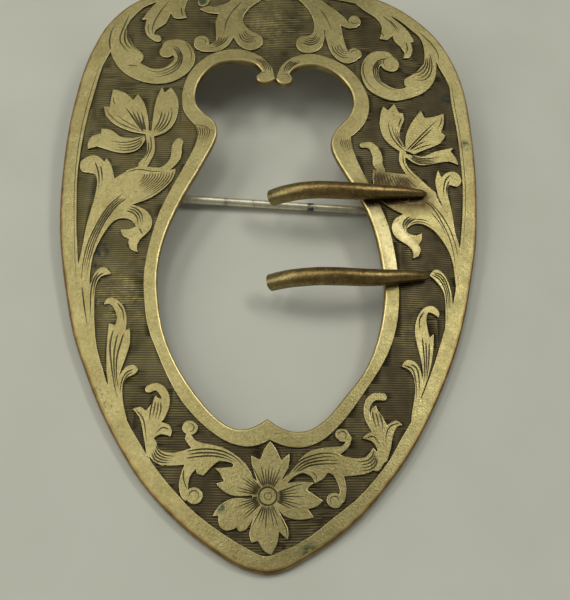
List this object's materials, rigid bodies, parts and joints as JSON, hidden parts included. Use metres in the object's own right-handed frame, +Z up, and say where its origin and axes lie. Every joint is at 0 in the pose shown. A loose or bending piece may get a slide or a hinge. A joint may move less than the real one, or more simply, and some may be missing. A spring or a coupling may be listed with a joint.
{
  "type": "sash buckle",
  "caption": "Shield-shaped sash buckle with raised scrolls and flowers round a waisted opening, fixed prongs on its face and a hinged pin stem with its catch behind.",
  "frame": {"origin": "middle of the footprint, on the surface that the buckle lies on", "axes": "+Y towards the broad end of the shield, +Z up from the surface, +X to the side where the prongs are fixed"},
  "size_m": [0.0572, 0.0848, 0.0098],
  "materials": {
    "frame": "satin brass, darkened in the sunk ground",
    "prong": "worn brown bronze wire",
    "pin": "drawn silver-coloured wire"
  },
  "bodies": {
    "plate": {"frame": "frame", "prong_upper": "prong", "prong_lower": "prong", "hinge_rivet": "pin"},
    "stem": {"pin_stem": "pin"}
  },
  "joints": [
    {"name": "pin_hinge", "type": "hinge", "parent": "plate", "child": "stem", "pos_m": [-0.0232, 0.00799, 0.00128], "axis": [0, 0.9947, 0.1029], "range_deg": [-2, 110]}
  ]
}
